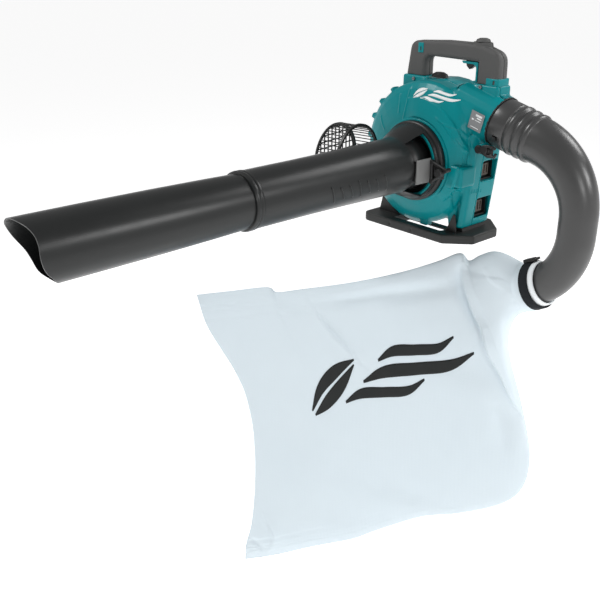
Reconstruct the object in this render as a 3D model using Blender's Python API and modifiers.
"""Hand-held blower and vacuum with suction pipes, outlet elbow and dust bag.

Metres, +Z up.  The fan turns about an axis along Y.  +X is the outlet side, -Y is the suction side.
The origin is in the middle of the foot's underside, straight below the fan's axis.
"""
import math

import bmesh
import bpy
from mathutils import Matrix, Vector

# Driving dimensions, in metres.
FAN_Z = 0.147             # height of the fan's axis
PART_Y = -0.012           # plane where the two housing shells meet
GAP = 0.0003              # clearance between pieces that touch
WALL = 0.003              # wall of the moulded housing
RIM_Y = -0.050            # front rim of the volute
BOSS_Y = -0.078           # front face of the intake boss
BOSS_R = 0.078            # outer radius of the intake boss
EYE_R = 0.064             # intake opening
BACK_Y = 0.050            # back face of the housing
OUTLET = Vector((0.135, 0.0, 0.2275))      # centre of the outlet's end
OUTLET_TILT = math.radians(14.5)           # the outlet points this far below +X
OUTLET_R = 0.0465
FOOT_T = 0.018            # thickness of the foot
HANDLE_HALF = 0.0145      # half the handle's thickness
HANDLE_Z = 0.2915         # where the handle's legs end
DIAL_X = 0.0790           # the speed dial on top of the handle
DIAL_Z = 0.3625
PIPE_R = 0.0475           # outer radius of the suction pipe
PIPE_WALL = 0.0025
PIPE_END = 0.478          # distance of the upper pipe's end in front of the fan's mid-plane
NOZZLE_END = 0.867        # distance of the nozzle's longest lip
FLANGE_R = 0.0700         # outer radius of the pipe's flange
FLANGE_Y = 0.0885         # distance of its face in front of the fan's mid-plane
PAD_Z = 0.1430            # middle of the flat pad on the pipe's flank
CLAMP_Z = 0.1420          # height of the thumb knob
GRILLE_OPEN = math.radians(80)             # how far the grille stands open at rest
GRILLE_HINGE = Vector((-0.079, -0.0835, FAN_Z))
GRILLE_R = 0.069
GRILLE_DEPTH = 0.055
RELEASE_PIVOT = Vector((0.1255, -0.0500, 0.1850))
BAG_HEADING = math.radians(210)            # direction in which the bag hangs away from its neck
BAG_THICK = 0.060
BAG_TOP = Vector((0.212, 0.0, 0.0))         # point over which the bag's near edge hangs
NECK_DIR = Vector((-0.902, 0.0, -0.432))    # direction of the bag's neck, into the bag

OUT_DIR = Vector((math.cos(OUTLET_TILT), 0.0, -math.sin(OUTLET_TILT)))
OUT_UP = Vector((math.sin(OUTLET_TILT), 0.0, math.cos(OUTLET_TILT)))
SIDE = Vector((0.0, 1.0, 0.0))
AXIS = Vector((0.0, 0.0, FAN_Z))

COLOURS = {               # colour, roughness, metallic
    "housing_teal": ((0.000, 0.235, 0.255), 0.38, 0.0),
    "handle_grey": ((0.098, 0.100, 0.098), 0.62, 0.0),
    "pipe_black": ((0.030, 0.031, 0.033), 0.36, 0.0),
    "elbow_grey": ((0.050, 0.050, 0.050), 0.42, 0.0),
    "foot_grey": ((0.040, 0.041, 0.041), 0.55, 0.0),
    "trim_black": ((0.018, 0.018, 0.019), 0.48, 0.0),
    "tab_grey": ((0.160, 0.160, 0.158), 0.50, 0.0),
    "screw_steel": ((0.300, 0.300, 0.310), 0.35, 1.0),
    "motor_steel": ((0.420, 0.420, 0.430), 0.40, 1.0),
    "copper_brown": ((0.230, 0.120, 0.060), 0.45, 0.0),
    "board_green": ((0.030, 0.140, 0.070), 0.50, 0.0),
    "fan_plastic": ((0.070, 0.072, 0.075), 0.50, 0.0),
    "plate_grey": ((0.250, 0.255, 0.260), 0.45, 0.0),
    "bag_cloth": ((0.720, 0.780, 0.830), 0.90, 0.0),
    "strap_web": ((0.025, 0.028, 0.032), 0.85, 0.0),
}


# ---------------------------------------------------------------- scene and materials

def clear_scene():
    for obj in list(bpy.data.objects):
        bpy.data.objects.remove(obj, do_unlink=True)


def collection(name):
    coll = bpy.data.collections.new(name)
    bpy.context.scene.collection.children.link(coll)
    return coll


def principled(name):
    colour, rough, metal = COLOURS[name]
    mat = bpy.data.materials.new(name)
    mat.use_nodes = True
    shader = mat.node_tree.nodes["Principled BSDF"]
    shader.inputs["Base Color"].default_value = (*colour, 1.0)
    shader.inputs["Roughness"].default_value = rough
    shader.inputs["Metallic"].default_value = metal
    return mat


clear_scene()
PARTS = collection("blower_vacuum")
CUTTERS = collection("cutters")
MATERIALS = {name: principled(name) for name in COLOURS}


def place(name, mesh, material, matrix=None):
    """Put a mesh in the model as a part, or among the cutters when it has no material."""
    obj = bpy.data.objects.new(name, mesh)
    if material is None:
        CUTTERS.objects.link(obj)
        obj.hide_render = True
        obj.display_type = 'WIRE'
    else:
        PARTS.objects.link(obj)
        mesh.materials.clear()
        mesh.materials.append(MATERIALS[material])
    if matrix is not None:
        obj.matrix_world = matrix
    return obj


def smooth(mesh, angle=35):
    mesh.shade_smooth()
    mesh.set_sharp_from_angle(angle=math.radians(angle))


# ---------------------------------------------------------------- basic solids

def finish_bmesh(bm, name):
    bmesh.ops.recalc_face_normals(bm, faces=bm.faces)
    mesh = bpy.data.meshes.new(name)
    bm.to_mesh(mesh)
    bm.free()
    smooth(mesh)
    return mesh


def loft(name, rings, material, closed=False, matrix=None):
    """Skin through rings of equal count: capped at both ends, or closed back on the first ring."""
    bm = bmesh.new()
    rows = [[bm.verts.new(point) for point in ring] for ring in rings]
    pairs = list(zip(rows, rows[1:]))
    if closed:
        pairs.append((rows[-1], rows[0]))
    count = len(rows[0])
    for low, high in pairs:
        for i in range(count):
            j = (i + 1) % count
            bm.faces.new((low[i], low[j], high[j], high[i]))
    if not closed:
        bm.faces.new(rows[0])
        bm.faces.new(rows[-1])
    return place(name, finish_bmesh(bm, name), material, matrix)


def box(name, low, high, material, bevel=0.0):
    """An upright box between two corners, with rounded edges if bevel is given."""
    low = Vector(low)
    high = Vector(high)
    bm = bmesh.new()
    bmesh.ops.create_cube(bm, size=1.0)
    bmesh.ops.scale(bm, vec=high - low, verts=bm.verts)
    obj = place(name, finish_bmesh(bm, name), material, Matrix.Translation((low + high) / 2))
    if bevel:
        round_edges(obj, bevel)
    return obj


def round_edges(obj, width, segments=2, angle=40):
    mod = obj.modifiers.new("round", 'BEVEL')
    mod.width = width
    mod.segments = segments
    mod.limit_method = 'ANGLE'
    mod.angle_limit = math.radians(angle)


def aim(origin, direction):
    """A frame at origin whose +Z points along direction."""
    turn = Vector(direction).to_track_quat('Z', 'Y').to_matrix().to_4x4()
    return Matrix.Translation(Vector(origin)) @ turn


def cylinder(name, start, end, radius, material, segments=24, radius_end=None):
    start = Vector(start)
    end = Vector(end)
    bm = bmesh.new()
    bmesh.ops.create_cone(bm, cap_ends=True, segments=segments, radius1=radius,
                          radius2=radius if radius_end is None else radius_end,
                          depth=(end - start).length)
    return place(name, finish_bmesh(bm, name), material, aim((start + end) / 2, end - start))


def turned(name, profile, origin, direction, material, segments=48):
    """Turn a profile of (radius, height) points about the line through origin along direction.

    A profile that starts and ends on the axis makes a solid, and any other is closed into a ring.
    It runs from its top down the outer side.
    """
    bm = bmesh.new()
    verts = [bm.verts.new((radius, 0.0, height)) for radius, height in profile]
    for low, high in zip(verts, verts[1:]):
        bm.edges.new((low, high))
    if profile[0][0] > 0.0:
        bm.edges.new((verts[-1], verts[0]))
    mesh = bpy.data.meshes.new(name)
    bm.to_mesh(mesh)
    bm.free()
    obj = place(name, mesh, material, aim(origin, direction))
    screw = obj.modifiers.new("turn", 'SCREW')
    screw.steps = segments
    screw.render_steps = segments
    screw.use_merge_vertices = True
    screw.merge_threshold = 0.00001
    screw.use_smooth_shade = True
    return obj


def fillet(corners, steps=5):
    """Round a polygon's corners: each corner is (x, y, radius)."""
    points = []
    count = len(corners)
    for i, (x, y, radius) in enumerate(corners):
        here = Vector((x, y))
        if radius <= 0.0:
            points.append(here)
            continue
        before = (Vector(corners[i - 1][:2]) - here).normalized()
        after = (Vector(corners[(i + 1) % count][:2]) - here).normalized()
        half = before.angle(after) / 2
        reach = radius / math.tan(half)
        centre = here + (before + after).normalized() * (radius / math.sin(half))
        first = here + before * reach - centre
        last = here + after * reach - centre
        sweep = first.angle_signed(last)
        for k in range(steps + 1):
            turn = Matrix.Rotation(-sweep * k / steps, 2)
            points.append(centre + turn @ first)
    return points


def inset(corners, by):
    """Move a polygon's edges inwards; its corners (x, y, radius) run clockwise."""
    edges = []
    count = len(corners)
    for i in range(count):
        a = Vector(corners[i][:2])
        b = Vector(corners[(i + 1) % count][:2])
        along = (b - a).normalized()
        inward = Vector((along.y, -along.x))
        edges.append((a + inward * by, along))
    result = []
    for i, (_, _, radius) in enumerate(corners):
        a, u = edges[i - 1]
        b, v = edges[i]
        t = (b - a).cross(v) / u.cross(v)
        spot = a + u * t
        convex = u.cross(v) < 0
        result.append((spot.x, spot.y, max(radius - by, 0.0) if convex else radius + by))
    return result


def slab(name, outline, thickness, material, matrix, edge=0.0):
    """A flat outline given thickness about its plane, with its long edges rounded by edge."""
    curve = bpy.data.curves.new(name, 'CURVE')
    curve.dimensions = '2D'
    curve.fill_mode = 'BOTH'
    curve.extrude = thickness / 2 - edge
    curve.bevel_depth = edge
    curve.bevel_resolution = 1
    curve.offset = -edge
    spline = curve.splines.new('POLY')
    spline.points.add(len(outline) - 1)
    for point, (x, y) in zip(spline.points, outline):
        point.co = (x, y, 0.0, 1.0)
    spline.use_cyclic_u = True
    source = bpy.data.objects.new(name + "_curve", curve)
    bpy.context.scene.collection.objects.link(source)
    bpy.context.view_layer.update()
    graph = bpy.context.evaluated_depsgraph_get()
    mesh = bpy.data.meshes.new_from_object(source.evaluated_get(graph))
    bpy.data.objects.remove(source, do_unlink=True)
    bm = bmesh.new()
    bm.from_mesh(mesh)
    bmesh.ops.remove_doubles(bm, verts=bm.verts, dist=0.00002)
    bmesh.ops.recalc_face_normals(bm, faces=bm.faces)
    bm.to_mesh(mesh)
    bm.free()
    smooth(mesh)
    return place(name, mesh, material, matrix)


def upright(y=0.0):
    """A frame that stands a flat outline in the XZ plane at y."""
    return Matrix.Translation((0.0, y, 0.0)) @ Matrix.Rotation(math.pi / 2, 4, 'X')


def boolean(obj, other, operation):
    mod = obj.modifiers.new(other.name, 'BOOLEAN')
    mod.operation = operation
    mod.solver = 'EXACT'
    mod.object = other
    return obj


def cut(obj, *others):
    for other in others:
        boolean(obj, other, 'DIFFERENCE')
    return obj


def join(obj, *others):
    for other in others:
        boolean(obj, other, 'UNION')
    return obj


def smooth_curve(points, steps):
    """Points on a smooth curve through the given points (Catmull-Rom), ends included."""
    points = [Vector(p) for p in points]
    padded = [2 * points[0] - points[1]] + points + [2 * points[-1] - points[-2]]
    result = []
    for a, b, c, d in zip(padded, padded[1:], padded[2:], padded[3:]):
        for k in range(steps):
            t = k / steps
            result.append(0.5 * (2 * b + (c - a) * t + (2 * a - 5 * b + 4 * c - d) * t * t
                                 + (3 * b - a - 3 * c + d) * t ** 3))
    result.append(points[-1])
    return result


# ---------------------------------------------------------------- housing

SPIRAL = (                # angle from +X in degrees, radius of the volute's outer wall
    (10, 0.0985), (50, 0.130), (75, 0.1415), (110, 0.1435), (145, 0.1480), (180, 0.1465),
    (215, 0.1425), (245, 0.1365), (275, 0.1265), (305, 0.1180), (335, 0.1030),
)


def spiral_radius(degrees):
    """Radius of the volute's outer wall, by a periodic smooth curve through the table."""
    count = len(SPIRAL)
    for i in range(count):
        a0, r0 = SPIRAL[i]
        a1, r1 = SPIRAL[(i + 1) % count]
        span = (a1 - a0) % 360
        step = (degrees - a0) % 360
        if step < span:
            before = SPIRAL[i - 1][1]
            after = SPIRAL[(i + 2) % count][1]
            t = step / span
            return 0.5 * (2 * r0 + (r1 - before) * t + (2 * before - 5 * r0 + 4 * r1 - after) * t * t
                          + (3 * r0 - before - 3 * r1 + after) * t ** 3)
    return SPIRAL[0][1]


def volute_ring(y, blend, inset=0.0, segments=44):
    """A ring of the volute at y: blend 0 is the outer spiral, blend 1 the round boss."""
    ring = []
    for i in range(segments):
        angle = 360.0 * i / segments
        radius = (1 - blend) * spiral_radius(angle) + blend * BOSS_R - inset
        a = math.radians(angle)
        ring.append(Vector((radius * math.cos(a), y, FAN_Z + radius * math.sin(a))))
    return ring


def volute_solid(name, material):
    """The outer form of the volute: a flat back, an upright rim and a domed front."""
    stations = (
        (BACK_Y, 0.12, 0.0), (BACK_Y - 0.004, 0.03, 0.0), (BACK_Y - 0.012, 0.0, 0.0),
        (RIM_Y + 0.006, 0.0, 0.0), (RIM_Y, 0.04, 0.001), (RIM_Y - 0.007, 0.20, 0.0),
        (RIM_Y - 0.015, 0.48, 0.0), (BOSS_Y + 0.006, 0.80, 0.0), (BOSS_Y + 0.003, 1.0, -0.001),
        (BOSS_Y, 1.0, 0.001),
    )
    return loft(name, [volute_ring(*s) for s in stations], material)


def fan_cavity():
    """The room for the impeller, behind the domed front."""
    stations = (
        (PART_Y + 0.004, 0.0, WALL), (RIM_Y + 0.006, 0.0, WALL), (RIM_Y + 0.003, 0.06, WALL),
        (RIM_Y - 0.004, 0.20, WALL), (RIM_Y - 0.012, 0.48, WALL), (BOSS_Y + 0.0065, 0.90, WALL),
    )
    return loft("fan_cavity", [volute_ring(*s) for s in stations], None)


def rear_bay(duct):
    """The room behind the fan chamber, kept clear of the outlet duct."""
    stations = (
        (PART_Y + WALL, 0.0, WALL), (BACK_Y - 0.012, 0.0, WALL), (BACK_Y - 0.006, 0.05, WALL),
        (BACK_Y - WALL, 0.14, WALL),
    )
    return cut(loft("rear_bay", [volute_ring(*s) for s in stations], None), duct)


def duct_ring(centre, along, half_height, half_width, power, segments=26):
    """A rounded section of the duct, square to the direction along."""
    up = along.cross(SIDE)
    up.negate()
    up = up if up.z > 0 else -up
    ring = []
    for i in range(segments):
        a = 2 * math.pi * i / segments
        c, s = math.cos(a), math.sin(a)
        scale = (abs(c) ** power + abs(s) ** power) ** (-1 / power)
        ring.append(centre + SIDE * (half_width * c * scale) + up * (half_height * s * scale))
    return ring


def duct_solid(name, inset, start, end, material=None):
    """The outlet duct between two distances behind (-) or past (+) the outlet's end."""
    rings = []
    steps = 6
    for k in range(steps + 1):
        d = start + (end - start) * k / steps
        back = max(0.0, min(1.0, -d / 0.11))
        centre = OUTLET + OUT_DIR * d - OUT_UP * (0.022 * max(0.0, back - 0.85) / 0.15)
        rings.append(duct_ring(centre, OUT_DIR, OUTLET_R - inset, OUTLET_R + 0.003 * back - inset,
                               2.0 + 1.2 * back))
    return loft(name, rings, material)


def tower_ring(z, back_x, front_x, half, radius):
    corners = [(back_x, -half, 0.004), (front_x, -half, radius), (front_x, half, radius),
               (back_x, half, 0.004)]
    return [Vector((p.x, p.y, z)) for p in fillet(corners, 4)]


def tower_solid(name):
    """The upright battery end below the outlet, leaning in towards the foot."""
    stations = (
        (0.0250, 0.064, 0.0905, 0.0400, 0.010), (0.0285, 0.062, 0.0945, 0.0440, 0.012),
        (0.1000, 0.052, 0.1030, 0.0450, 0.013), (0.1600, 0.045, 0.1085, 0.0455, 0.013),
        (0.2050, 0.045, 0.1110, 0.0440, 0.013),
    )
    return loft(name, [tower_ring(*s) for s in stations], None)


def tower_front_x(z):
    """X of the tower's front face at a height."""
    return 0.0945 + (z - 0.0285) * (0.1085 - 0.0945) / (0.160 - 0.0285)


WINDOWS = {"lower": (0.0405, 0.0800), "upper": (0.1130, 0.1525)}     # battery windows, low and high z
WINDOW_Y = (-0.0085, 0.0345)


def window_cutter(name, low_z, high_z):
    return box("cut_window_" + name, (0.085, WINDOW_Y[0], low_z), (0.125, WINDOW_Y[1], high_z), None)


def housing():
    duct = duct_solid("duct_outer", 0.0, -0.125, 0.0)
    duct_bore = duct_solid("duct_bore", WALL, -0.110, 0.020)
    tower = tower_solid("tower_outer")
    socket_top = HANDLE_Z - GAP
    socket_left = box("socket_left", (-0.0900, -0.0200, 0.235), (-0.0330, 0.0200, socket_top), None, 0.004)
    socket_right = box("socket_right", (0.0770, -0.0200, 0.230), (0.1330, 0.0200, socket_top), None, 0.004)
    boss = cylinder("release_boss", RELEASE_PIVOT + SIDE * 0.040, RELEASE_PIVOT + SIDE * 0.0034, 0.0085, None)
    cut(boss, cylinder("elbow_room", OUTLET, OUTLET + OUT_DIR * 0.050, 0.0447, None, 48))
    lug = box("bottom_lug", (0.0040, -0.0560, FOOT_T + GAP), (0.0210, -0.0400, 0.040), None)
    bay = rear_bay(duct)
    tower_bay = box("tower_bay", (0.070, WINDOW_Y[0] - 0.0005, 0.0330), (0.0915, 0.0415, 0.170), None)
    fan_room = fan_cavity()
    eye = cylinder("cut_eye", (0, -0.060, FAN_Z), (0, -0.090, FAN_Z), EYE_R, None, 48)
    motor_hole = cylinder("cut_motor_hole", (0, 0.030, FAN_Z), (0, 0.060, FAN_Z), 0.052, None, 40)
    shaft_hole = cylinder("cut_shaft_hole", (0, -0.020, FAN_Z), (0, 0.0, FAN_Z), 0.0113, None, 24)
    windows = [window_cutter(name, *span) for name, span in WINDOWS.items()]
    rear_side = box("cut_rear_side", (-0.3, PART_Y - GAP / 2, -0.1), (0.3, 0.3, 0.5), None)
    front_side = box("cut_front_side", (-0.3, -0.3, -0.1), (0.3, PART_Y + GAP / 2, 0.5), None)

    front = volute_solid("housing_front_shell", "housing_teal")
    join(front, duct, tower, socket_left, socket_right, lug, boss)
    cut(front, fan_room, duct_bore, eye, release_pin_hole(), rear_side)

    rear = volute_solid("housing_rear_shell", "housing_teal")
    join(rear, duct, tower, socket_left, socket_right)
    cut(rear, bay, tower_bay, duct_bore, motor_hole, shaft_hole, *windows, front_side)


def housing_trim():
    """The black intake ring, the motor's cover and the blank plate on the duct."""
    turned("intake_ring", [(0.0650, 0.0873), (0.0725, 0.0873), (0.0725, 0.0835), (0.0745, 0.0835),
                           (0.0745, 0.0783), (0.0650, 0.0783)],
           AXIS, -SIDE, "trim_black", 32)
    cover = turned("motor_cover", [(0.0, 0.0890), (0.030, 0.0880), (0.050, 0.0800), (0.058, 0.0680),
                                   (0.060, 0.0503), (0.057, 0.0503), (0.055, 0.0665), (0.048, 0.0775),
                                   (0.029, 0.0850), (0.0, 0.0860)],
                   AXIS, SIDE, "housing_teal", 26)
    for i in range(5):
        z = FAN_Z + 0.015 * (i - 2)
        half = math.sqrt(0.034 ** 2 - (z - FAN_Z) ** 2)
        vent = box(f"cut_vent_{i}", (-half, 0.060, z - 0.003), (half, 0.100, z + 0.003), None)
        cut(cover, vent)
    centre = OUTLET - OUT_DIR * 0.022 - OUT_UP * 0.0005 - SIDE * 0.0490
    plate = box("name_plate", (-0.0145, -0.0006, -0.0165), (0.0145, 0.0006, 0.0165), "plate_grey", 0.0004)
    plate.matrix_world = Matrix.Translation(centre) @ Matrix.Rotation(OUTLET_TILT, 4, 'Y')


# ---------------------------------------------------------------- battery end

def battery_end():
    """A guide frame and a terminal block behind each battery window."""
    for name, (low_z, high_z) in WINDOWS.items():
        face = tower_front_x(low_z) - 0.0075
        rail = box("battery_rail_" + name, (face - 0.010, WINDOW_Y[0] + GAP, low_z + GAP),
                   (face, WINDOW_Y[1] - GAP, high_z - GAP), "trim_black")
        hollow = box("cut_rail_" + name, (face - 0.0075, WINDOW_Y[0] + 0.004, low_z + 0.0035),
                     (face + 0.010, WINDOW_Y[1] - 0.003, high_z - 0.0035), None)
        cut(rail, hollow)
        mid_z = (low_z + high_z) / 2
        block = box("terminal_block_" + name, (face - 0.0072, 0.0, mid_z - 0.011),
                    (face - 0.001, 0.024, mid_z + 0.011), "copper_brown")
        for i in range(3):
            y = 0.003 + 0.0075 * i
            slot = box(f"cut_terminal_{name}_{i}", (face - 0.005, y, mid_z - 0.008),
                       (face + 0.004, y + 0.003, mid_z + 0.008), None)
            cut(block, slot)


# ---------------------------------------------------------------- fan and motor

def fan():
    """Impeller, shaft and rotor turn together; the stator and the bearings are fixed."""
    hub = turned("impeller", [(0.0, 0.0640), (0.010, 0.0640), (0.016, 0.0560), (0.022, 0.0330),
                              (0.084, 0.0230), (0.084, 0.0200), (0.0, 0.0200)],
                 AXIS, -SIDE, "fan_plastic", 32)
    blades = 8
    for i in range(blades):
        blade = impeller_blade(f"blade_{i}", 2 * math.pi * i / blades)
        join(hub, blade)
    cut(hub, cylinder("cut_hub", (0, -0.070, FAN_Z), (0, -0.010, FAN_Z), 0.00435, None, 20))
    cylinder("motor_shaft", (0, -0.066, FAN_Z), (0, 0.060, FAN_Z), 0.0040, "motor_steel", 20)
    turned("motor_rotor", [(0.0043, 0.0430), (0.0150, 0.0430), (0.0150, 0.0130), (0.0043, 0.0130)],
           AXIS, SIDE, "motor_steel", 28)
    turned("motor_stator", [(0.0155, 0.0460), (0.0310, 0.0460), (0.0325, 0.0440), (0.0325, 0.0120),
                            (0.0310, 0.0100), (0.0155, 0.0100)],
           AXIS, SIDE, "copper_brown", 36)
    turned("bearing_front", [(0.00435, -0.0050), (0.0110, -0.0050), (0.0110, -0.0115), (0.00435, -0.0115)],
           AXIS, SIDE, "motor_steel", 24)
    turned("bearing_rear", [(0.00435, 0.0570), (0.0110, 0.0570), (0.0110, 0.0500), (0.00435, 0.0500)],
           AXIS, SIDE, "motor_steel", 24)
    turned("motor_frame", [(0.0114, 0.0590), (0.0380, 0.0590), (0.0380, -0.0088), (0.0340, -0.0088),
                           (0.0340, 0.0560), (0.0114, 0.0560)],
           AXIS, SIDE, "trim_black", 36)
    box("controller_board", (-0.105, 0.002, 0.095), (-0.052, 0.0045, 0.175), "board_green")


def impeller_blade(name, angle):
    """A blade that leans back from the direction of turning, as a bent upright strip."""
    rings = []
    steps = 5
    for k in range(steps + 1):
        t = k / steps
        radius = 0.019 + t * 0.064
        a = angle + 0.55 * t * t
        centre = Vector((radius * math.cos(a), 0.0, FAN_Z + radius * math.sin(a)))
        tangent = Vector((-math.sin(a), 0.0, math.cos(a)))
        front = -0.052 + 0.004 * t
        half = tangent * 0.0009
        rings.append([centre - half + SIDE * front, centre + half + SIDE * front,
                      centre + half + SIDE * -0.0215, centre - half + SIDE * -0.0215])
    return loft(name, rings, None)


# ---------------------------------------------------------------- handle

HANDLE_OUTLINE = (        # x, z and corner radius, clockwise from below the left foot
    (-0.0885, 0.2780, 0.007), (-0.0775, 0.3530, 0.016), (0.0000, 0.3585, 0.060), (0.0520, 0.3590, 0.020),
    (0.0900, 0.3560, 0.020), (0.1270, 0.3450, 0.022), (0.1290, 0.2780, 0.007),
    (0.0805, 0.2780, 0.007), (0.0805, 0.3275, 0.0), (-0.0410, 0.3285, 0.012), (-0.0405, 0.2780, 0.007),
)


def handle():
    outline = fillet(HANDLE_OUTLINE)
    half_gap = GAP / 2
    room = slab("handle_room", fillet(inset(HANDLE_OUTLINE, WALL)), 2 * (HANDLE_HALF - WALL), None, upright())
    below = box("cut_handle_feet", (-0.2, -0.1, 0.2), (0.2, 0.1, HANDLE_Z), None)
    boss = cylinder("dial_boss", (0, 0, 0.3440), (0, 0, DIAL_Z - 0.0008), 0.0235, None, 36, 0.0195)
    oval = Matrix.Translation((DIAL_X, 0, 0)) @ Matrix.Diagonal((1, 0.61, 1, 1))
    boss.matrix_world = oval @ boss.matrix_world
    trigger_slot = box("cut_trigger", (0.0400, -0.0062, 0.318), (0.0785, 0.0062, 0.350), None)
    for side, name in ((-1, "handle_front_shell"), (1, "handle_rear_shell")):
        shell = slab(name, outline, 2 * HANDLE_HALF, "handle_grey", upright(), 0.006)
        away = box("cut_half_" + name, (-0.2, min(-side * 0.1, side * half_gap), 0.2),
                   (0.2, max(-side * 0.1, side * half_gap), 0.5), None)
        join(shell, boss)
        cut(shell, room, trigger_slot, below, away)
    trim = [(0.0440, 0.3270, 0.0), (0.0800, 0.3270, 0.002), (0.0800, HANDLE_Z + 0.0010, 0.0),
            (0.0765, HANDLE_Z + 0.0010, 0.0), (0.0765, 0.3230, 0.008), (0.0470, 0.3230, 0.002)]
    band = slab("handle_trim", fillet(trim), 0.0250, "housing_teal", upright(), 0.0008)
    cut(band, box("cut_trim", (0.0400, -0.0062, 0.318), (0.0785, 0.0062, 0.350), None))
    rest = turned("handle_rest", [(0.0, 0.0095), (0.008, 0.0085), (0.014, 0.0050), (0.016, 0.0), (0.0, 0.0)],
                  (-0.0140, 0.0, HANDLE_Z - 0.0005), (0, 0, 1), "trim_black", 24)
    rest.scale = (1.15, 0.75, 1.0)


# ---------------------------------------------------------------- suction pipes

def flange_window(name, low_angle, high_angle):
    """A cutter for an opening in the pipe's flange, between two angles about the axis."""
    steps = 8
    angles = [math.radians(low_angle + (high_angle - low_angle) * k / steps) for k in range(steps + 1)]
    sector = [(0.0520, a) for a in angles] + [(0.0850, a) for a in reversed(angles)]
    rings = [[Vector((r * math.cos(a), y, FAN_Z + r * math.sin(a))) for r, a in sector]
             for y in (-0.1370, -0.0965)]
    return loft("cut_flange_" + name, rings, None)


def suction_pipe():
    """The upper pipe with its flared flange, cut-outs, clamp ear and stop bumps."""
    t = PIPE_WALL
    outer = [(PIPE_R, PIPE_END), (PIPE_R, 0.305), (0.0500, 0.200), (0.0512, 0.140), (0.0580, 0.1215),
             (0.0652, 0.106), (FLANGE_R, 0.0955), (FLANGE_R, FLANGE_Y)]
    inner = [(r - t, h) for r, h in reversed(outer[:-1])]
    pipe = turned("suction_pipe", outer + [(FLANGE_R - t, FLANGE_Y)] + inner, AXIS, -SIDE, "pipe_black", 30)
    cut(pipe, flange_window("near", -58, 60), flange_window("far", 196, 240))
    bore = 0.0468
    sleeve = turned("pipe_sleeve", [(0.0488, 0.1480), (0.0488, FLANGE_Y), (bore, FLANGE_Y), (bore, 0.1480)],
                    AXIS, -SIDE, None, 30)
    seat = box("pad_seat", (0.0470, -0.1400, PAD_Z - 0.0190), (0.0545, -0.0945, PAD_Z + 0.0190), None)
    strut = box("pad_strut", (0.0470, -0.0975, PAD_Z - 0.0120), (0.0690, -0.0900, PAD_Z + 0.0120), None)
    seat_bore = cylinder("seat_bore", (0, 0, FAN_Z), (0, -0.3, FAN_Z), bore + 0.0010, None, 48)
    join(pipe, sleeve, cut(join(seat, strut), seat_bore))
    ear = box("pipe_ear", (0.066, -0.0980, CLAMP_Z - 0.009), (0.0895, -0.0885, CLAMP_Z + 0.009), None, 0.002)
    join(pipe, cut(ear, cylinder("ear_bore", (0, 0, FAN_Z), (0, -0.3, FAN_Z), 0.0685, None, 48)))
    cut(pipe, cylinder("cut_ear", (0.0825, -0.080, CLAMP_Z), (0.0825, -0.110, CLAMP_Z), 0.0040, None, 16))


def nozzle():
    """The lower pipe: a spigot inside the upper one, a bead, and a scooped oblique mouth."""
    t = PIPE_WALL
    outer = [(0.0500, NOZZLE_END + 0.002), (0.0500, 0.840), (0.0480, 0.650), (0.0445, 0.495),
             (0.0485, 0.4920), (0.0490, 0.4860), (0.0485, 0.4785), (0.0443, 0.4785), (0.0443, 0.455)]
    inner = [(0.0443 - t, 0.455), (0.0443 - t, 0.495), (0.0480 - t, 0.650), (0.0500 - t, 0.840),
             (0.0500 - t, NOZZLE_END + 0.002)]
    body = turned("suction_nozzle", outer + inner, AXIS, -SIDE, "pipe_black", 30)
    mouth = [(-0.867, 0.0500), (-0.858, 0.030), (-0.835, 0.008), (-0.824, -0.020), (-0.811, -0.0500)]
    curve = smooth_curve([Vector((y, z)) for y, z in mouth], 5)
    outline = [Vector((-0.90, 0.060))] + [Vector((-0.868, 0.060))] + curve
    outline += [Vector((-0.808, -0.060)), Vector((-0.90, -0.060))]
    rings = [[Vector((x, p.x, FAN_Z + p.y)) for p in outline] for x in (-0.07, 0.07)]
    cut(body, loft("cut_mouth", rings, None))


def pipe_fittings():
    """The clamp's thumb knob and the flat pad on the pipe's flank."""
    turned("clamp_knob", [(0.0, 0.1090), (0.0070, 0.1090), (0.0080, 0.1075), (0.0080, 0.1000),
                          (0.0065, 0.0984), (0.0030, 0.0984), (0.0030, 0.0890), (0.0, 0.0890)],
           (0.0825, 0, CLAMP_Z), -SIDE, "trim_black", 20)
    box("pipe_pad", (0.0548, -0.1350, PAD_Z - 0.0220), (0.0580, -0.0995, PAD_Z + 0.0220), "tab_grey", 0.001)


# ---------------------------------------------------------------- intake grille

def grille_frame():
    """The grille's own frame: +Z from its mouth to its bottom, +X from its centre to the hinge."""
    turn = Matrix.Rotation(-GRILLE_OPEN, 4, 'Z') @ Matrix(
        ((-1, 0, 0, 0), (0, 0, -1, 0), (0, -1, 0, 0), (0, 0, 0, 1)))
    reach = Matrix.Translation((GRILLE_HINGE.x, 0, 0))
    return Matrix.Translation(GRILLE_HINGE) @ turn @ reach


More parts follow.
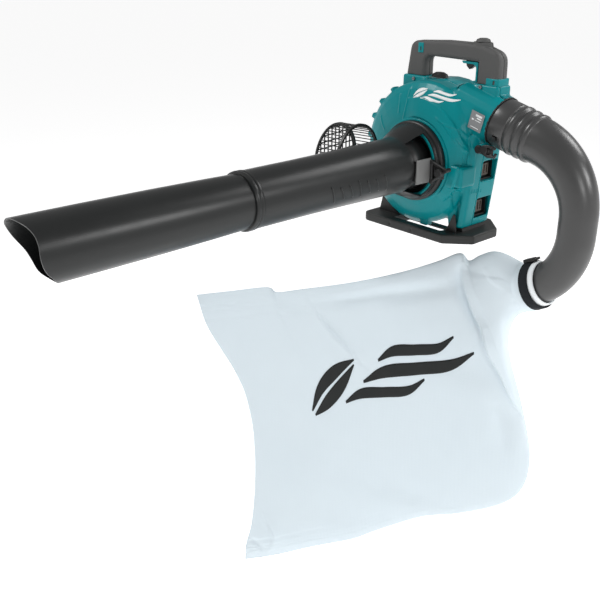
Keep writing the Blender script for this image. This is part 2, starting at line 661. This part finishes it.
def grille():
    """A cup of open mesh on a vertical hinge beside the intake."""
    frame = grille_frame()
    r, d, t = GRILLE_R, GRILLE_DEPTH, 0.0026
    cup = turned("intake_grille", [(0.0, d), (r - 0.010, d), (r - 0.004, d - 0.003), (r - 0.003, 0.004),
                                   (r, 0.004), (r, 0.0), (r - 0.003 - t, 0.0), (r - 0.004 - t, d - 0.004),
                                   (r - 0.011, d - t), (0.0, d - t)],
                 (0, 0, 0), (0, 0, 1), "trim_black", 28)
    cup.matrix_world = frame
    pitch = 0.0210
    half = pitch / 2 - 0.0017
    for i in range(-2, 3):
        for j in range(-2, 3):
            if abs(i) + abs(j) > 3:
                continue
            hole = box(f"cut_mesh_{i + 2}_{j + 2}", (i * pitch - half, j * pitch - half, d - 0.006),
                       (i * pitch + half, j * pitch + half, d + 0.004), None)
            hole.matrix_world = frame @ hole.matrix_world
            cut(cup, hole)
    slats = 14
    for i in range(slats):
        a = 2 * math.pi * (i + 0.5) / slats
        slot = box(f"cut_slat_{i}", (r - 0.012, -0.0100, 0.0085), (r + 0.004, 0.0100, d - 0.0075), None)
        slot.matrix_world = frame @ Matrix.Rotation(a, 4, 'Z') @ slot.matrix_world
        cut(cup, slot)
    ear = box("grille_ear", (r - 0.004, -0.0085, 0.0), (-GRILLE_HINGE.x + 0.0045, 0.0085, 0.0040), None)
    ear.matrix_world = frame @ ear.matrix_world
    join(cup, ear)
    up = Vector((0, 0, 1))
    cut(cup, cylinder("cut_ear_pin", GRILLE_HINGE - up * 0.012, GRILLE_HINGE + up * 0.012, 0.0019, None, 14))


# ---------------------------------------------------------------- foot

def foot():
    """The foot is an open frame with a stiffening web, and two black brackets hold the housing."""
    corners = [(-0.130, -0.0760, 0.012), (0.0760, -0.0760, 0.006), (0.1200, -0.0360, 0.006),
               (0.1200, 0.0360, 0.006), (0.0760, 0.0760, 0.006), (-0.130, 0.0760, 0.012)]
    base = slab("foot_frame", fillet(corners, 4), FOOT_T, "foot_grey",
                Matrix.Translation((0, 0, FOOT_T / 2)), 0.0025)
    hole = [(-0.0640, -0.0575, 0.006), (0.0580, -0.0575, 0.006),
            (0.0580, 0.0575, 0.006), (-0.0640, 0.0575, 0.006)]
    opening = slab("cut_foot", fillet(hole, 3), 0.05, None, Matrix.Translation((0, 0, 0.01)))
    cut(base, opening)
    join(base, box("foot_web", (-0.0660, -0.0070, 0.0), (0.0600, 0.0070, 0.005), None))
    for x in (-0.060, -0.005):
        cut(base, box(f"cut_notch_{x}", (x, -0.080, 0.006), (x + 0.006, -0.0745, 0.0125), None))

    cradle = cylinder("cut_cradle", (0, -0.1, FAN_Z), (0, 0.1, FAN_Z), 0.1430, None, 64)
    left = [(-0.1180, FOOT_T + GAP, 0.0), (-0.0660, FOOT_T + GAP, 0.0), (-0.0660, 0.0300, 0.0),
            (-0.1080, 0.0580, 0.003)]
    cut(slab("bracket_left", fillet(left, 3), 0.080, "trim_black", upright()), cradle)
    right = [(0.0620, FOOT_T + GAP, 0.0), (0.0920, FOOT_T + GAP, 0.0), (0.0900, 0.0250 - GAP, 0.0),
             (0.0640, 0.0250 - GAP, 0.0)]
    slab("bracket_right", fillet(right, 3), 0.070, "trim_black", upright())


# ---------------------------------------------------------------- outlet elbow

def elbow_path():
    """Stations along the elbow: centre, direction and outer radius."""
    first = OUTLET + OUT_DIR * 0.0006
    stations = [(first, OUT_DIR, 0.0440), (OUTLET + OUT_DIR * 0.028, OUT_DIR, 0.0440)]
    for k in range(4):
        d = 0.034 + 0.0125 * k
        stations.append((OUTLET + OUT_DIR * d, OUT_DIR, 0.0450))
        stations.append((OUTLET + OUT_DIR * (d + 0.006), OUT_DIR, 0.0415))
    centre = Vector((0.184, 0.0, 0.0875))
    steps = 7
    for k in range(1, steps + 1):
        a = math.radians(75.5 * (1 - k / steps))
        radial = Vector((math.cos(a), 0, math.sin(a)))
        along = Vector((math.sin(a), 0, -math.cos(a)))
        stations.append((centre + radial * 0.1235, along, 0.0405 - 0.0075 * k / steps))
    centre = Vector((0.1775, 0.0, 0.0575))
    steps = 5
    for k in range(0, steps + 1):
        a = math.radians(-51 * k / steps)
        radial = Vector((math.cos(a), 0, math.sin(a)))
        along = Vector((math.sin(a), 0, -math.cos(a)))
        stations.append((centre + radial * 0.130, along, 0.0330 + 0.0015 * k / steps))
    last = stations[-1]
    stations.append((last[0] + last[1] * 0.034, last[1], 0.0345))
    return stations


def round_ring(centre, along, radius, segments):
    along = along.normalized()
    across = along.cross(SIDE)
    return [centre + (SIDE * math.cos(a) + across * math.sin(a)) * radius
            for a in (2 * math.pi * i / segments for i in range(segments))]


ELBOW_SEGMENTS = 22
ELBOW_WALL = 0.0030


def elbow():
    """The elbow in three lengths: the corrugated sleeve, the bend and the tail in the bag's neck."""
    stations = elbow_path()
    ends = (0, 10, 16, len(stations) - 1)
    for name, first, last in zip(("elbow_sleeve", "elbow_pipe", "elbow_tail"), ends, ends[1:]):
        part = stations[first:last + 1]
        centre, along, radius = part[-1]
        if last < len(stations) - 1:
            part[-1] = (centre - along * GAP, along, radius)
        outer = [round_ring(c, d, r, ELBOW_SEGMENTS) for c, d, r in part]
        plain = part[:1] + part[9:] if name == "elbow_sleeve" else part
        inner = [round_ring(c, d, min(r, 0.0425) - ELBOW_WALL, ELBOW_SEGMENTS) for c, d, r in reversed(plain)]
        loft(name, outer + inner, "elbow_grey", closed=True)
    turned("outlet_collar", [(0.0400, -0.0010), (0.0428, -0.0010), (0.0428, -0.0140), (0.0400, -0.0140)],
           OUTLET, OUT_DIR, "trim_black", 28)


def release_pin_hole():
    return cylinder("cut_release_pin", RELEASE_PIVOT - SIDE * 0.01, RELEASE_PIVOT + SIDE * 0.012, 0.0027,
                    None, 16)


def release_lever():
    """The clip below the outlet that holds the elbow, on a pin beside the duct."""
    pivot = RELEASE_PIVOT
    profile = [(-0.0070, -0.0065, 0.005), (-0.0070, 0.0065, 0.005), (0.0105, 0.0065, 0.003),
               (0.0295, 0.0020, 0.002), (0.0375, -0.0070, 0.002), (0.0285, -0.0110, 0.002),
               (0.0095, -0.0060, 0.003)]
    outline = fillet([(pivot.x + x, pivot.z + z, r) for x, z, r in profile], 3)
    lever = slab("release_lever", outline, 0.0050, "trim_black", upright(-0.0500), 0.0010)
    cut(lever, cylinder("cut_lever_pin", pivot - SIDE * 0.01, pivot + SIDE * 0.01, 0.0028, None, 16))
    cylinder("release_pin", pivot - SIDE * 0.0035, pivot + SIDE * 0.0110, 0.0024, "screw_steel", 16)


# ---------------------------------------------------------------- trigger, dial, small fittings

def controls():
    pivot = Vector((0.0700, 0.0, 0.3360))
    outline = fillet([(0.0470, 0.3320, 0.002), (0.0490, 0.3180, 0.002), (0.0560, 0.3120, 0.002),
                      (0.0640, 0.3180, 0.003), (0.0735, 0.3265, 0.002), (0.0745, 0.3400, 0.003),
                      (0.0640, 0.3400, 0.003)], 3)
    trigger = slab("trigger", outline, 0.0100, "trim_black", upright(), 0.0012)
    cut(trigger, cylinder("cut_trigger_pin", pivot - SIDE * 0.01, pivot + SIDE * 0.01, 0.0022, None, 14))
    cylinder("trigger_pin", pivot - SIDE * 0.0108, pivot + SIDE * 0.0108, 0.0018, "screw_steel", 14)
    turned("speed_dial", [(0.0, 0.0060), (0.0070, 0.0056), (0.0115, 0.0036), (0.0130, 0.0008),
                          (0.0130, -0.0003), (0.0, -0.0003)],
           (DIAL_X, 0, DIAL_Z), (0, 0, 1), "handle_grey", 28)


# ---------------------------------------------------------------- dust bag

BAG_OUTLINE = (           # distance from the neck along the bag's heading, height
    (0.060, -0.010), (0.120, -0.024), (0.330, -0.100), (0.500, -0.138), (0.665, -0.172),
    (0.620, -0.285), (0.560, -0.400), (0.545, -0.590), (0.570, -0.760), (0.572, -0.842),
    (0.400, -0.768), (0.210, -0.656), (0.060, -0.590), (-0.030, -0.520), (-0.046, -0.430),
    (-0.018, -0.300), (0.012, -0.185), (0.022, -0.110),
)


def bag():
    """A plain closed solid for the cloth bag, with the gathered neck that the strap holds."""
    heading = Vector((math.cos(BAG_HEADING), math.sin(BAG_HEADING), 0.0))
    across = Vector((-heading.y, heading.x, 0.0))
    middle = Vector((0.270, -0.400))
    rings = []
    for side, shrink in ((-1.0, 0.16), (-0.62, 0.05), (0.0, 0.0), (0.62, 0.05), (1.0, 0.16)):
        ring = []
        for s, z in BAG_OUTLINE:
            p = Vector((s, z)).lerp(middle, shrink)
            ring.append(BAG_TOP + heading * p.x + across * (side * BAG_THICK / 2) + Vector((0, 0, p.y)))
        rings.append(ring)
    body = loft("dust_bag", rings, "bag_cloth")
    mouth, along, _ = elbow_path()[-2]
    into = (heading + Vector((0, 0, -0.62))).normalized()
    neck = [round_ring(mouth, NECK_DIR, 0.0390, 24),
            round_ring(mouth + along * 0.012, NECK_DIR, 0.0400, 24),
            round_ring(mouth + along * 0.038, (along + NECK_DIR).normalized(), 0.0400, 24),
            round_ring(mouth + along * 0.056, (along + into).normalized(), 0.0430, 24),
            round_ring(mouth + along * 0.064 + into * 0.040, into, 0.0380, 24),
            round_ring(mouth + along * 0.064 + into * 0.090, into, 0.0280, 24)]
    sleeve = loft("neck_sleeve", neck, None)
    elbow_room = cylinder("cut_neck", mouth - along * 0.040, mouth + along * 0.044, 0.0358, None, 32)
    cut(join(body, sleeve), elbow_room)
    ring_at = mouth + along * 0.0240
    turned("bag_strap", [(0.0443, 0.0115), (0.0461, 0.0115), (0.0461, -0.0115), (0.0443, -0.0115)],
           ring_at, NECK_DIR, "strap_web", 28)
    up = SIDE.cross(NECK_DIR).normalized()
    spot = ring_at + (-up if up.z < 0 else up) * 0.0489
    buckle = box("strap_buckle", (-0.011, -0.009, -0.0024), (0.011, 0.009, 0.0024), "trim_black", 0.001)
    buckle.matrix_world = aim(spot, spot - ring_at)


# ---------------------------------------------------------------- screws and small lugs

SCREWS = {"upper_left": (-0.0607, -0.0204, 0.2850), "upper_right": (0.0961, -0.0204, 0.2872)}


def small_parts():
    for name, spot in SCREWS.items():
        spot = Vector(spot)
        head = cylinder("screw_" + name, spot, spot - SIDE * 0.0022, 0.0032, "screw_steel", 18)
        hexagon = cylinder("cut_screw_" + name, spot - SIDE * 0.0010, spot - SIDE * 0.0040, 0.0017, None, 6)
        cut(head, hexagon)
    up = Vector((0, 0, 1))
    for name, z in (("upper", FAN_Z + 0.0145), ("lower", FAN_Z - 0.0145)):
        low = Vector((GRILLE_HINGE.x - 0.0035, GRILLE_HINGE.y - 0.0040, z - 0.0045))
        high = Vector((GRILLE_HINGE.x + 0.0035, BOSS_Y + 0.0015, z + 0.0045))
        knuckle = box("hinge_knuckle_" + name, low, high, "trim_black")
        body = cylinder("knuckle_room_" + name, (0, BOSS_Y - GAP, FAN_Z), (0, 0.0, FAN_Z), 0.0798, None, 64)
        hole = cylinder("cut_knuckle_" + name, GRILLE_HINGE - up * 0.03, GRILLE_HINGE + up * 0.03, 0.0019,
                        None, 14)
        cut(knuckle, body, hole)
    cylinder("grille_pin", GRILLE_HINGE - up * 0.0195, GRILLE_HINGE + up * 0.0195, 0.0015, "screw_steel", 14)


housing()
housing_trim()
battery_end()
fan()
handle()
suction_pipe()
nozzle()
pipe_fittings()
grille()
foot()
elbow()
release_lever()
controls()
bag()
small_parts()
